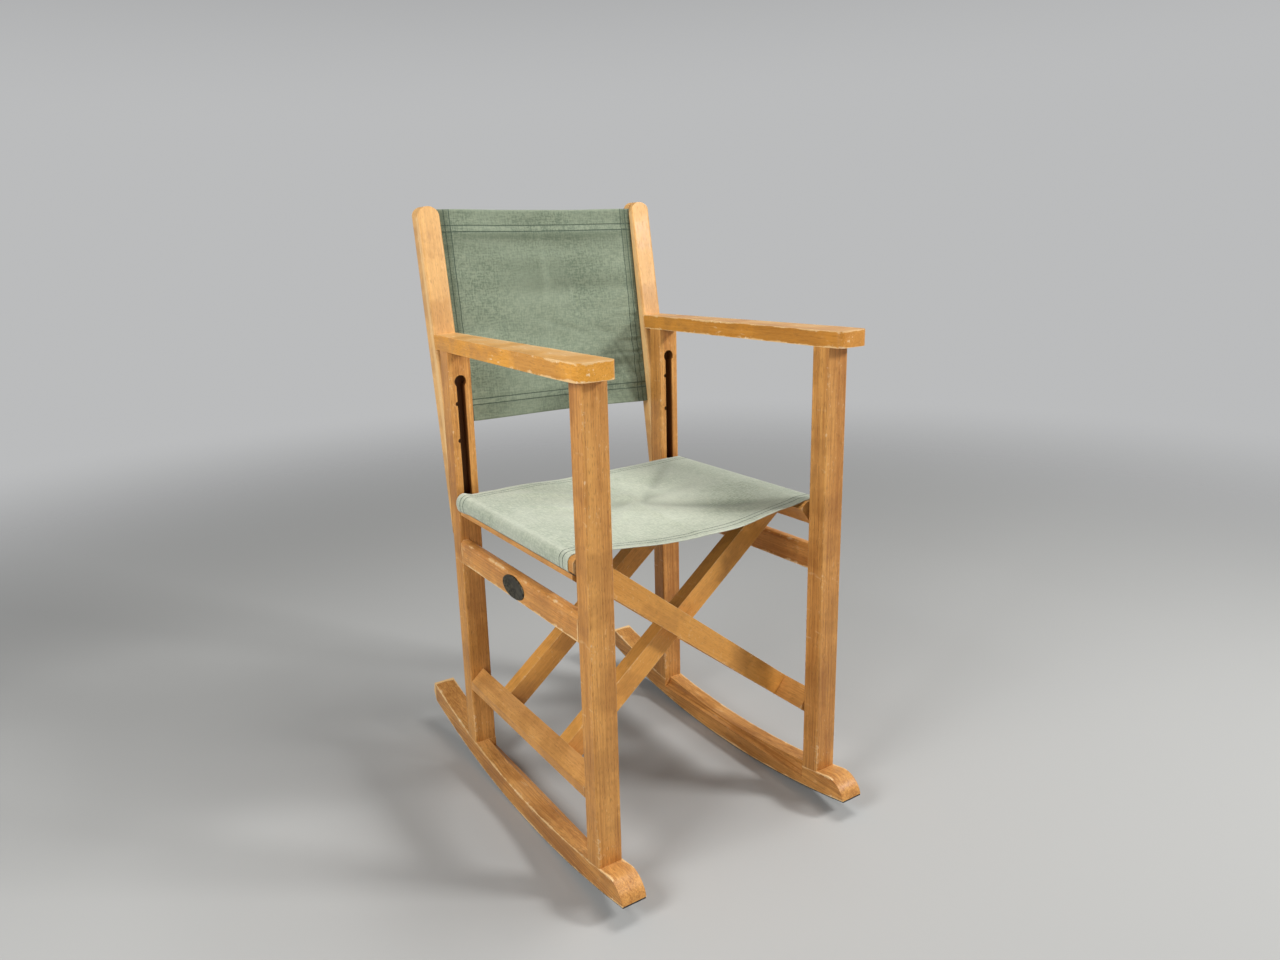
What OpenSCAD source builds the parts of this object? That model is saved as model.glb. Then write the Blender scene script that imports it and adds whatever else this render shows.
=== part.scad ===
// Folding directors chair on curved rockers. Millimetres.
// X runs across the seat, the chair faces -Y, Z is up. Z = 0 is the floor under the rockers.
// Two scissor ladders carry the seat rails. Their upper pins slide in keyhole slots in the posts.

/* [Side frame] */
// width across the outer faces of the posts
frame_w = 440; // [400:1:520]
// post width across the chair
post_w = 38; // [32:0.5:46]
// post depth front to back
post_d = 30; // [27:0.5:36]
// clear distance between front and rear post
post_gap = 364; // [330:1:400]
// height of the armrest's underside
arm_z = 716.5; // [700:0.5:760]
// small radius on the posts' long edges
post_r = 2.5; // [1:0.5:5]

/* [Armrests] */
// armrest thickness
arm_t = 23; // [18:0.5:30]
// overhang in front of the front post
arm_front = 22; // [10:1:40]
// how far the armrest spreads outwards at the front
arm_flare = 17; // [5:1:30]
// radius of the armrest's outer front corner
arm_r_out = 14; // [6:1:18]
// radius of the armrest's inner front corner
arm_r_in = 10; // [4:1:18]

/* [Rockers] */
// rocker length in front of the front post
rocker_nose = 56; // [40:1:90]
// rocker length behind the rear post
rocker_tail = 153; // [100:1:200]
// rocker thickness
rocker_t = 32; // [26:0.5:40]
// radius of the sole's running curve
rock_r = 1315; // [1100:5:1800]
// distance of the curve's lowest point behind the front post's front face
rock_low = 227; // [180:1:280]
// radius of the nose's rounded top edge
nose_r = 32; // [20:1:34]
// size of the bevel under the tail's end
tail_cut = 13; // [6:1:18]
// thickness of the black sole strip
sole_t = 2; // [1:0.5:4]
// radius of the cove along the rocker's inner top edge
cove_r = 13; // [8:0.5:16]
// depth of the cove under the rocker's top at its lowest point
cove_low = 5; // [3:0.5:8]

/* [Mid rails] */
// mid rail thickness
mid_t = 18; // [14:0.5:18]
// mid rail height
mid_h = 38; // [30:0.5:46]
// distance of the mid rail's underside below the seat rails' flat
mid_drop = 111.5; // [100:0.5:140]
// radius on the mid rail's top edges
mid_r = 7; // [3:0.5:8.5]
// height of the bare oval plate on the left mid rail
plate_h = 34; // [20:0.5:37]
// length of the oval plate along the rail
plate_w = 66; // [36:1:90]
// distance of the plate's centre behind the front post's front face
plate_y = 210; // [120:1:300]

/* [Back] */
// top of the back stiles
back_z = 935.5; // [880:0.5:980]
// height at which the stile leaves the post and starts to lean
lean_z = 631.5; // [600:0.5:660]
// lean of the stile in degrees
lean = 8; // [4:0.5:9]
// stile depth, square to its lean
stile_t = 34; // [31:0.5:36]
// how many degrees more the stile's front leans, which thins its top
stile_taper = 1.5; // [0:0.1:2]
// radius on the stile's long edges
stile_r = 4.5; // [2:0.5:7]
// lower end of the stile above the floor
stile_foot_z = 416; // [410:1:470]
// top of the back canvas
canvas_top_z = 925; // [860:1:930]
// bottom of the back canvas
canvas_low_z = 595; // [560:1:620]
// diameter of the rods in the back canvas
rod_d = 6; // [4:0.5:7]

/* [Scissor ladders] */
// height of the flat on top of the seat rails
seat_z = 485; // [470:0.5:500]
// height of that flat over the slide pins
seat_rise = 11.6; // [10:0.1:13]
// angle of the ladders from the floor when open
ladder_deg = 38.5; // [35:0.5:41]
// width of a crossing bar
bar_w = 35; // [28:0.5:36]
// thickness of a crossing bar
bar_t = 23.4; // [18:0.2:26]
// distance from the front post to the outer bar
bar_inset = 56; // [45:1:90]
// gap between the two bars of a crossing
bar_gap = 1.4; // [1:0.1:3]
// width of a ladder rail along its ladder
rail_w = 38; // [34:0.5:40]
// tenon length at the bars' ends
tenon = 20; // [12:1:24]
// gap at each end of a lower rail
low_end_gap = 1; // [0.5:0.1:3]
// gap at each end of a seat rail
seat_end_gap = 8; // [6:0.5:12]
// radius on the seat rails' outer top edge
rail_round = 9; // [5:0.5:11]
// batten thickness under the seat rails
batten_t = 6; // [5:0.5:14]

/* [Pins and slots] */
// cross pivot pin diameter
cross_pin_d = 8; // [6:0.5:12]
// lower pivot pin diameter
low_pin_d = 10; // [6:0.5:12]
// slide pin diameter
slide_pin_d = 8; // [5:0.5:10]
// outer diameter of the slide bushing
bush_d = 14; // [12:0.5:16]
// flange diameter of the slide bushing
flange_d = 19; // [17:0.5:22]
// depth of the slots in the posts
slot_depth = 17; // [12:0.5:20]
// diameter of the keyhole at the slot's top
key_d = 20; // [17:0.5:24]
// radial clearance of turning pins
pin_clear = 0.05; // [0.02:0.01:0.1]
// side clearance of the bushing in its slot
slot_clear = 0.3; // [0.3:0.05:0.6]

/* [Canvas] */
// canvas thickness
cloth_t = 1.2; // [0.8:0.1:2]
// sag of the seat canvas in the middle
seat_sag = 12; // [4:1:30]
// distance of the seat canvas from the ends of its rails
cloth_end = 4; // [2:1:12]

/* [Hidden] */
$fn = 48;
eps = 0.01;
fit_gap = 0.3;
glue_gap = 0.1;
nx = frame_w / 2;
pin_x = nx - post_w / 2;
inner_x = nx - post_w;
wood_r = rock_r - sole_t;
top_r = wood_r - rocker_t;
nose_c = rock_r - sqrt(top_r * top_r - pow(rock_low + rocker_nose - nose_r, 2)) - nose_r;
tip_z = rock_r - sqrt(rock_r * rock_r - pow(rock_low + rocker_nose, 2));
tip_back = tip_z > nose_c ? nose_r - sqrt(nose_r * nose_r - pow(tip_z - nose_c, 2)) : 0;
total_y = rocker_nose - tip_back + post_d + post_gap + post_d + rocker_tail;
y0 = -total_y / 2 + rocker_nose - tip_back;
y1 = y0 + post_d;
y2 = y1 + post_gap;
y3 = y2 + post_d;
y_low = y0 + rock_low;
low_top_z = rock_r - top_r;
tail_deg = asin((y3 + rocker_tail - y_low) / (wood_r - tail_cut));
sin_l = sin(ladder_deg);
cos_l = cos(ladder_deg);
half_l = pin_x / cos_l;
pin_rise = pin_x * tan(ladder_deg);
seat_pin_z = seat_z - seat_rise;
cross_z = seat_pin_z - pin_rise;
low_pin_z = cross_z - pin_rise;
mid_z = seat_z - mid_drop;
fold_gap = 4;
fold_deg = acos((post_w + fold_gap) / (2 * half_l)) - ladder_deg;
key_z = low_pin_z + 2 * half_l * sin(ladder_deg + fold_deg) + 3;
bar_y1 = y1 + bar_inset;
bar_y2 = bar_y1 + bar_t + bar_gap;
far1 = y1 + y2 - bar_y1 - bar_t;
far2 = y1 + y2 - bar_y2 - bar_t;
pin_in = bar_t - 6;
rail_h = bar_w;
rail_s0 = half_l - rail_w / 2;
rail_s1 = half_l + rail_w / 2;
wrap = fit_gap + cloth_t;
rail_x = nx - wrap;
tenon_w = bar_w * 0.62;
tenon_t = bar_t * 0.45;
tan_b = tan(lean);
tan_f = tan(lean + stile_taper);
stile_h = stile_t / cos(lean);
chan_d = rod_d + 2 * cloth_t + 2 * fit_gap;
chan_x = inner_x + chan_d / 2 + 4;
chan_y = stile_t * 0.52;
rod_below = 7;
dowel_d = 8;
washer_t = bar_gap - 0.4;
washer_d = 3 * cross_pin_d;
mate_t = 18;
slide_in = 26;
low_in = 22;
notch_d = 7;
notch_z = [634, 575];
screw_d = 4;
screw_head = 8;
stile_screw_z = [446, 520, 594];
batten_screw_y = [0.14, 0.5, 0.86];
seat_y1 = y1 + seat_end_gap;
seat_y2 = y2 - seat_end_gap;

wood = [0.80, 0.56, 0.30];
wood2 = [0.72, 0.48, 0.25];
cloth = [0.45, 0.52, 0.42];
steel = [0.55, 0.55, 0.57];
black = [0.08, 0.08, 0.08];

function rock_z(y, r) = rock_r - sqrt(r * r - pow(y - y_low, 2));

// a post or stile section with eased long edges, centred
module eased(w, d, r) {
    square([w - 2 * r, d], center = true);
    square([w, d - 2 * r], center = true);
    for (i = [-1, 1], j = [-1, 1]) translate([i * (w / 2 - r), j * (d / 2 - r)]) circle(r);
}

// copy for the other side of the chair
module side(s) {
    if (s < 0) children();
    else mirror([1, 0, 0]) children();
}

// ladder frames: local X along the ladder, local Z square to it
module outer_frame() {
    translate([0, 0, cross_z]) rotate([0, ladder_deg, 0]) children();
}
module inner_frame() {
    mirror([1, 0, 0]) outer_frame() children();
}

module along_y(ya, yb) {
    translate([0, yb, 0]) rotate([90, 0, 0]) linear_extrude(yb - ya) children();
}
module rod_y(d, ya, yb) {
    translate([0, ya, 0]) rotate([-90, 0, 0]) cylinder(d = d, h = yb - ya);
}
module rod_z(d, za, zb) {
    translate([0, 0, za]) cylinder(d = d, h = zb - za);
}

// side view profile (Y across, Z up) given a thickness from xa to xb
module side_plate(xa, xb) {
    translate([xa, 0, 0]) rotate([90, 0, 90]) linear_extrude(xb - xa) children();
}

// dowels of one side frame, left side
module dowels(d, extra) {
    for (y = [(y0 + y1) / 2, (y2 + y3) / 2], i = [-1, 1]) {
        translate([-pin_x + i * post_w * 0.24, y, 0]) {
            rod_z(d, arm_z - 16 - extra, arm_z + 14 + extra);
            zr = rock_z(y, top_r);
            rod_z(d, zr - 18 - extra, zr + 20 + extra);
        }
    }
    for (z = [mid_z + mid_h * 0.28, mid_z + mid_h * 0.68]) translate([-nx + mid_t / 2, 0, z]) {
        rod_y(d, y1 - 14 - extra, y1 + 16 + extra);
        rod_y(d, y2 - 16 - extra, y2 + 14 + extra);
    }
    arm_end = y3 + (arm_z + arm_t / 2 - lean_z) * tan_f;
    translate([-pin_x, 0, arm_z + arm_t / 2]) rod_y(d, arm_end - 18 - extra, arm_end + 12 + extra);
}

// left lower pivot pins, also used as the cutter of their bores
module low_pins(d, extra) {
    for (m = [0, 1]) translate([-pin_x, 0, low_pin_z])
        if (m == 0) rod_y(d, y1 - mate_t - extra, y1 + low_end_gap + low_in + extra);
        else rod_y(d, y2 - low_end_gap - low_in - extra, y2 + mate_t + extra);
}

// keyhole slot of a post: ya and yb bound its depth
module slot(ya, yb) {
    w = bush_d + 2 * slot_clear;
    translate([-pin_x, 0, 0]) {
        translate([0, 0, seat_pin_z]) rod_y(w, ya, yb);
        translate([-w / 2, ya, seat_pin_z]) cube([w, yb - ya, key_z - seat_pin_z]);
        translate([0, 0, key_z]) rod_y(key_d, ya, yb);
    }
}

module stile_screw_set(d, head, extra) {
    for (i = [0 : len(stile_screw_z) - 1]) {
        z = stile_screw_z[i];
        yr = y3 + stile_h + (z - lean_z) * tan_b;
        translate([-pin_x + (i % 2 == 0 ? -1 : 1) * post_w * 0.3, 0, z]) {
            rod_y(d, y3 - 12 - extra, yr - 1 - glue_gap);
            rod_y(head, yr - 4, yr - 1 + (extra > 0 ? 8 : 0));
        }
    }
}

module post_body(yc, ya, yb) {
    difference() {
        intersection() {
            translate([-pin_x, yc, 0]) linear_extrude(arm_z) eased(post_w, post_d, post_r);
            side_plate(-nx - 1, -inner_x + 1) difference() {
                translate([yc - post_d, 0]) square([2 * post_d, arm_z]);
                difference() {
                    translate([yc - post_d - 1, -1]) square([2 * post_d + 2, rock_z(yc, top_r) + 40]);
                    translate([y_low, rock_r]) circle(r = top_r, $fn = 720);
                }
            }
        }
        dowels(dowel_d + 2 * glue_gap, 0.5);
        low_pins(low_pin_d, 0.5);
        slot(ya, yb);
    }
}

module front_post_shape() {
    post_body((y0 + y1) / 2, y1 - slot_depth, y1 + 1);
}

module rear_post_shape(notch_side) {
    difference() {
        post_body((y2 + y3) / 2, y2 - 1, y2 + slot_depth);
        stile_screw_set(screw_d - 0.6, screw_head, 0.5);
        w = bush_d + 2 * slot_clear;
        for (z = notch_z) translate([-pin_x + notch_side * w / 2, 0, z]) rod_y(notch_d, y2 - 1, y2 + slot_depth);
    }
}

module armrest_shape() {
    front = y0 - arm_front;
    rear_low = y3 + (arm_z - lean_z) * tan_f;
    xo = -nx - arm_flare;
    difference() {
        intersection() {
            translate([0, 0, arm_z]) linear_extrude(arm_t) difference() {
                polygon([[-inner_x, y3 + 60], [-inner_x, front], [xo, front], [xo, front + arm_front + post_d],
                    [-nx, y3 + 10], [-nx, y3 + 60]]);
                translate([-inner_x - arm_r_in, front + arm_r_in]) difference() {
                    translate([0, -arm_r_in - 1]) square([arm_r_in + 1, arm_r_in + 1]);
                    circle(arm_r_in);
                }
                translate([xo + arm_r_out, front + arm_r_out]) difference() {
                    translate([-arm_r_out - 1, -arm_r_out - 1]) square([arm_r_out + 1, arm_r_out + 1]);
                    circle(arm_r_out);
                }
            }
            side_plate(xo - 1, -inner_x + 1) polygon([[front - 1, arm_z - 1], [rear_low - tan_f, arm_z - 1],
                [rear_low + (arm_t + 1) * tan_f, arm_z + arm_t + 1], [front - 1, arm_z + arm_t + 1]]);
        }
        dowels(dowel_d + 2 * glue_gap, 0.5);
    }
}

module mid_rail_shape(with_plate) {
    difference() {
        translate([-nx, 0, mid_z]) along_y(y1, y2) {
            square([mid_t, mid_h - mid_r]);
            translate([mid_r, 0]) square([mid_t - 2 * mid_r, mid_h]);
            for (x = [mid_r, mid_t - mid_r]) translate([x, mid_h - mid_r]) circle(mid_r);
        }
        dowels(dowel_d + 2 * glue_gap, 0.5);
        if (with_plate) plate_solid(glue_gap, 1, 2);
    }
}

module plate_solid(gap, deep, proud) {
    translate([-nx - proud, y0 + plate_y, mid_z + plate_h / 2 + 0.4]) rotate([90, 0, 90])
        linear_extrude(deep + proud)
            polygon([for (a = [0:5:355]) [(plate_w / 2 + gap) * cos(a), (plate_h / 2 + gap) * sin(a)]]);
}

// rocker side view between two radii, with a rounded nose and a square tail
module rocker_band(r_out, r_in) {
    nose_y = y0 - rocker_nose;
    intersection() {
        difference() {
            translate([y_low, rock_r]) circle(r = r_out, $fn = 720);
            translate([y_low, rock_r]) circle(r = r_in, $fn = 720);
        }
        translate([y_low, rock_r]) rotate(tail_deg - 90) polygon([[0, 0], [rock_r + rocker_t, 0],
            [rock_r + rocker_t, -rock_r], [0, -2 * rock_r], [-rock_r, -rock_r], [-rock_r, 0]]);
        union() {
            translate([nose_y, 0]) square([rock_r, nose_c]);
            translate([nose_y + nose_r + 2, 0]) square([rock_r, rock_r]);
            translate([nose_y + nose_r, nose_c]) circle(nose_r);
        }
    }
}

// takes the lower corner off the tail
module tail_bevel() {
    side_plate(-nx - 1, -inner_x + 1) translate([y_low, rock_r]) rotate(tail_deg - 90)
        polygon([[wood_r - tail_cut, 1], [wood_r - tail_cut, 0], [rock_r + 1, -tail_cut - sole_t - 1], [rock_r + 1, 1]]);
}

module rocker_shape() {
    difference() {
        side_plate(-nx, -inner_x) rocker_band(wood_r, top_r);
        tail_bevel();
        zc = low_top_z + cove_r - cove_low;
        translate([-inner_x, 0, zc]) along_y(y1, y2) polygon(concat(
            [for (a = [180 : 10 : 270]) cove_r * [cos(a), sin(a)]], [[cove_r, -cove_r], [cove_r, 80], [-cove_r, 80]]));
        dowels(dowel_d + 2 * glue_gap, 0.5);
    }
}

module sole_shape() {
    difference() {
        side_plate(-nx + 1, -inner_x - 1) rocker_band(rock_r, wood_r);
        tail_bevel();
    }
}

// the leaning stile in its own frame: origin where the lean starts, on the post's rear face
module lean_frame(more = 0) {
    translate([0, y3, lean_z]) rotate([-lean - more, 0, 0]) children();
}

module stile_shape() {
    top = (back_z - lean_z) / cos(lean) + 30;
    difference() {
        intersection() {
            lean_frame() translate([-pin_x, stile_t / 2, (stile_foot_z - back_z) / 2]) linear_extrude(back_z)
                eased(post_w, stile_t, stile_r);
            lean_frame(stile_taper) translate([-pin_x, stile_t, (stile_foot_z - back_z) / 2]) linear_extrude(back_z)
                eased(post_w + 0.2, 2 * stile_t, stile_r);
            translate([-pin_x, 0, 0]) along_y(y3, y3 + back_z / 3) {
                translate([-post_w / 2, stile_foot_z]) square([post_w, back_z - post_w / 2 - stile_foot_z]);
                translate([0, back_z - post_w / 2]) circle(d = post_w, $fn = 72);
            }
        }
        lean_frame() {
            low = (canvas_low_z - lean_z) / cos(lean) - rod_below - fit_gap;
            translate([-chan_x, chan_y, low]) cylinder(d = chan_d, h = top - low);
            w = 2 * cloth_t + 2 * fit_gap;
            translate([-chan_x, chan_y - w / 2, low]) cube([chan_d + 8, w, top - low]);
        }
        dowels(dowel_d + 2 * glue_gap, 0.5);
        stile_screw_set(screw_d + 0.4, screw_head + 0.4, 0.5);
    }
}

// rails and bars of a ladder, drawn for the outer ladder; the inner one is its mirror image
module rail_blank(s, ya, yb) {
    outer_frame() translate([s > 0 ? rail_s0 : -rail_s1, ya, -rail_h / 2]) cube([rail_w, yb - ya, rail_h]);
}

module mortises(s, ys) {
    for (y = ys) outer_frame() translate([s > 0 ? rail_s0 - 1 : -rail_s0 - tenon - 0.5, y + (bar_t - tenon_t) / 2 - glue_gap,
        -tenon_w / 2 - glue_gap]) cube([tenon + 1.5, tenon_t + 2 * glue_gap, tenon_w + 2 * glue_gap]);
}

module lower_rail_shape(ys) {
    difference() {
        intersection() {
            rail_blank(1, y1 + low_end_gap, y2 - low_end_gap);
            translate([0, y1, 0]) cube([nx, post_gap, cross_z]);
        }
        mortises(1, ys);
        mirror([1, 0, 0]) low_pins(low_pin_d + 2 * pin_clear, 0.5);
    }
}

module seat_rail_shape(ys) {
    difference() {
        intersection() {
            rail_blank(-1, seat_y1, seat_y2);
            along_y(seat_y1 - 1, seat_y2 + 1) translate([-rail_x, 0]) {
                square([rail_x, seat_z - rail_round]);
                translate([rail_round, 0]) square([rail_x - rail_round, seat_z]);
                translate([rail_round, seat_z - rail_round]) circle(rail_round, $fn = 96);
            }
        }
        mortises(-1, ys);
        slide_pin_set(slide_pin_d + 2 * glue_gap, 0.5);
        batten_screw_set(screw_d - 0.6, screw_head - 1, 0.5);
    }
}

module batten_shape() {
    difference() {
        intersection() {
            outer_frame() translate([-rail_s1, seat_y1, -rail_h / 2 - wrap - glue_gap - batten_t])
                cube([rail_w - 4, seat_y2 - seat_y1, batten_t]);
            translate([-nx, y1, cross_z]) cube([nx, post_gap, seat_z]);
        }
        batten_screw_set(screw_d + 0.4, screw_head - 0.6, 0.5);
    }
}

module batten_screw_set(d, head, extra) {
    low = -rail_h / 2 - wrap - glue_gap - batten_t;
    for (f = batten_screw_y) outer_frame() translate([-half_l + 5, seat_y1 + f * (seat_y2 - seat_y1), 0]) {
        rod_z(d, low + 1, -rail_h / 2 + 10 + extra);
        rod_z(head, low - extra, low + 3);
    }
}

module slide_pin_set(d, extra) {
    translate([-pin_x, 0, seat_pin_z]) {
        rod_y(d, y1 - slot_depth + 2 - extra, seat_y1 + slide_in + extra);
        rod_y(d, seat_y2 - slide_in - extra, y2 + slot_depth - 2 + extra);
    }
}

module bushing_set() {
    translate([-pin_x, 0, seat_pin_z]) difference() {
        union() {
            rod_y(bush_d, y1 - slot_depth + 1, y1 + fit_gap + eps);
            rod_y(flange_d, y1 + fit_gap, seat_y1 - glue_gap);
            rod_y(bush_d, y2 - fit_gap - eps, y2 + slot_depth - 1);
            rod_y(flange_d, seat_y2 + glue_gap, y2 - fit_gap);
        }
        rod_y(slide_pin_d + 2 * pin_clear, y1 - slot_depth, y2 + slot_depth);
    }
}

// bar of the outer ladder; pin_far is the side on which its washer lies
module bar_shape(ya, pin_ya, pin_yb, pin_r) {
    difference() {
        outer_frame() {
            translate([-rail_s0, ya, -bar_w / 2]) cube([2 * rail_s0, bar_t, bar_w]);
            for (s = [-rail_s0 - tenon, rail_s0 - eps]) translate([s, ya + (bar_t - tenon_t) / 2, -tenon_w / 2])
                cube([tenon + eps, tenon_t, tenon_w]);
        }
        translate([0, 0, cross_z]) rod_y(pin_r * 2, pin_ya, pin_yb);
    }
}

module cross_pin_set() {
    translate([0, 0, cross_z]) {
        rod_y(cross_pin_d, bar_y1 + bar_t - pin_in, bar_y2 + pin_in);
        rod_y(cross_pin_d, far1 - bar_gap - pin_in, far1 + pin_in);
    }
}

module washer_set() {
    translate([0, 0, cross_z]) difference() {
        union() {
            rod_y(washer_d, bar_y1 + bar_t, bar_y1 + bar_t + washer_t);
            rod_y(washer_d, far1 - washer_t, far1);
        }
        rod_y(cross_pin_d + 2 * glue_gap, bar_y1, far1 + bar_t);
    }
}

// seat canvas: one profile from under the left rail over both rails to under the right rail
function out_pt(s, v) = [s * cos_l + v * sin_l, cross_z - s * sin_l + v * cos_l];
function under_z(o) = let (v = -rail_h / 2 - o, x = -(rail_x + o), s = (x - v * sin_l) / cos_l) cross_z - s * sin_l + v * cos_l;
flat_in_s = -(seat_z - cross_z - rail_h / 2 * cos_l) / sin_l;
flat_in_x = out_pt(flat_in_s, rail_h / 2)[0];
sag_n = 28;
tuck = 6;
function half_path(o) = concat([out_pt(-rail_s0 - tuck, -rail_h / 2 - o), [-(rail_x + o), under_z(o)]],
    [for (a = [180 : -9 : 90]) [-rail_x + rail_round, seat_z - rail_round] + (rail_round + o) * [cos(a), sin(a)]],
    [[flat_in_x, seat_z + o]]);
function sag_path(o) = [for (i = [1 : sag_n - 1]) let (t = -1 + 2 * i / sag_n)
    [-flat_in_x * t, seat_z + o - seat_sag * (1 - t * t)]];
function flip(p) = [for (i = [len(p) - 1 : -1 : 0]) [-p[i][0], p[i][1]]];
function rev(p) = [for (i = [len(p) - 1 : -1 : 0]) p[i]];
function full_path(o) = concat(half_path(o), sag_path(o), flip(half_path(o)));

module seat_canvas() {
    color(cloth) difference() {
        along_y(seat_y1 + cloth_end, seat_y2 - cloth_end) polygon(concat(full_path(wrap), rev(full_path(fit_gap))));
        for (s = [-1, 1]) side(s) batten_screw_set(screw_d, 1, 0);
    }
}

module back_canvas() {
    low = (canvas_low_z - lean_z) / cos(lean);
    high = (canvas_top_z - lean_z) / cos(lean);
    color(cloth) lean_frame() difference() {
        union() {
            translate([-chan_x, chan_y - cloth_t, low]) cube([2 * chan_x, 2 * cloth_t, high - low]);
            for (s = [-1, 1]) translate([s * chan_x, chan_y, low]) cylinder(d = rod_d + 2 * glue_gap + 2 * cloth_t, h = high - low);
        }
        for (s = [-1, 1]) translate([s * chan_x, chan_y, low - 1]) cylinder(d = rod_d + 2 * glue_gap, h = high - low + 2);
    }
}

module back_rod(s) {
    low = (canvas_low_z - lean_z) / cos(lean) - rod_below;
    high = (canvas_top_z - lean_z) / cos(lean) - 1;
    color(steel) lean_frame() translate([s * chan_x, chan_y, low]) cylinder(d = rod_d, h = high - low);
}

module left_front_post() { color(wood) front_post_shape(); }
module right_front_post() { color(wood) side(1) front_post_shape(); }
module left_rear_post() { color(wood) rear_post_shape(-1); }
module right_rear_post() { color(wood) side(1) rear_post_shape(1); }
module left_armrest() { color(wood2) armrest_shape(); }
module right_armrest() { color(wood2) side(1) armrest_shape(); }
module left_mid_rail() { color(wood2) mid_rail_shape(true); }
module right_mid_rail() { color(wood2) side(1) mid_rail_shape(false); }
module left_rocker() { color(wood2) rocker_shape(); }
module right_rocker() { color(wood2) side(1) rocker_shape(); }
module left_sole() { color(black) sole_shape(); }
module right_sole() { color(black) side(1) sole_shape(); }
module left_back_stile() { color(wood) stile_shape(); }
module right_back_stile() { color(wood) side(1) stile_shape(); }
module left_frame_dowels() { color(wood2) dowels(dowel_d, 0); }
module right_frame_dowels() { color(wood2) side(1) dowels(dowel_d, 0); }
module left_stile_screws() { color(steel) stile_screw_set(screw_d - 0.6, screw_head, 0); }
module right_stile_screws() { color(steel) side(1) stile_screw_set(screw_d - 0.6, screw_head, 0); }
module oval_plate() { color(black) plate_solid(0, 1, 2); }
module left_pivot_pins() { color(steel) low_pins(low_pin_d, 0); }
module right_pivot_pins() { color(steel) side(1) low_pins(low_pin_d, 0); }
module left_back_rod() { back_rod(-1); }
module right_back_rod() { back_rod(1); }

module right_lower_rail() { color(wood2) lower_rail_shape([bar_y1, far1]); }
module left_lower_rail() { color(wood2) mirror([1, 0, 0]) lower_rail_shape([bar_y2, far2]); }
module left_seat_rail() { color(wood2) seat_rail_shape([bar_y1, far1]); }
module right_seat_rail() { color(wood2) mirror([1, 0, 0]) seat_rail_shape([bar_y2, far2]); }
module left_seat_batten() { color(wood) batten_shape(); }
module right_seat_batten() { color(wood) mirror([1, 0, 0]) batten_shape(); }
module left_batten_screws() { color(steel) batten_screw_set(screw_d - 0.6, screw_head - 1, 0); }
module right_batten_screws() { color(steel) mirror([1, 0, 0]) batten_screw_set(screw_d - 0.6, screw_head - 1, 0); }
module front_outer_bar() {
    color(wood) bar_shape(bar_y1, bar_y1 + bar_t - pin_in - 0.5, bar_y1 + bar_t + 1, cross_pin_d / 2);
}
module rear_outer_bar() { color(wood) bar_shape(far1, far1 - 1, far1 + pin_in + 0.5, cross_pin_d / 2); }
module front_inner_bar() {
    color(wood) mirror([1, 0, 0]) bar_shape(bar_y2, bar_y2 - 1, bar_y2 + pin_in + 0.5, cross_pin_d / 2 + pin_clear);
}
module rear_inner_bar() {
    color(wood) mirror([1, 0, 0])
        bar_shape(far2, far2 + bar_t - pin_in - 0.5, far2 + bar_t + 1, cross_pin_d / 2 + pin_clear);
}
module cross_pins() { color(steel) cross_pin_set(); }
module cross_washers() { color(steel) washer_set(); }
module left_slide_pins() { color(steel) slide_pin_set(slide_pin_d, 0); }
module right_slide_pins() { color(steel) side(1) slide_pin_set(slide_pin_d, 0); }
module left_slide_bushings() { color(steel) bushing_set(); }
module right_slide_bushings() { color(steel) side(1) bushing_set(); }

left_front_post();
right_front_post();
left_rear_post();
right_rear_post();
left_armrest();
right_armrest();
left_mid_rail();
right_mid_rail();
left_rocker();
right_rocker();
left_sole();
right_sole();
left_back_stile();
right_back_stile();
left_frame_dowels();
right_frame_dowels();
left_stile_screws();
right_stile_screws();
oval_plate();
left_pivot_pins();
right_pivot_pins();
left_back_rod();
right_back_rod();
left_lower_rail();
right_lower_rail();
left_seat_rail();
right_seat_rail();
left_seat_batten();
right_seat_batten();
left_batten_screws();
right_batten_screws();
front_outer_bar();
rear_outer_bar();
front_inner_bar();
rear_inner_bar();
cross_pins();
cross_washers();
left_slide_pins();
right_slide_pins();
left_slide_bushings();
right_slide_bushings();
seat_canvas();
back_canvas();
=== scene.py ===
# %% [markdown]
# # A folding directors chair on rockers
# The real chair is two flat side frames in varnished beech, joined by two crossing ladders and by two
# pieces of sage green canvas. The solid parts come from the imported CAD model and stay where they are.
# This script gives them wood, metal and rubber, and makes the cloth, the stitching and the small plate.

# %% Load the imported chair
import math

import bmesh
import bpy
from mathutils import Matrix, Vector, noise


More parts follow.
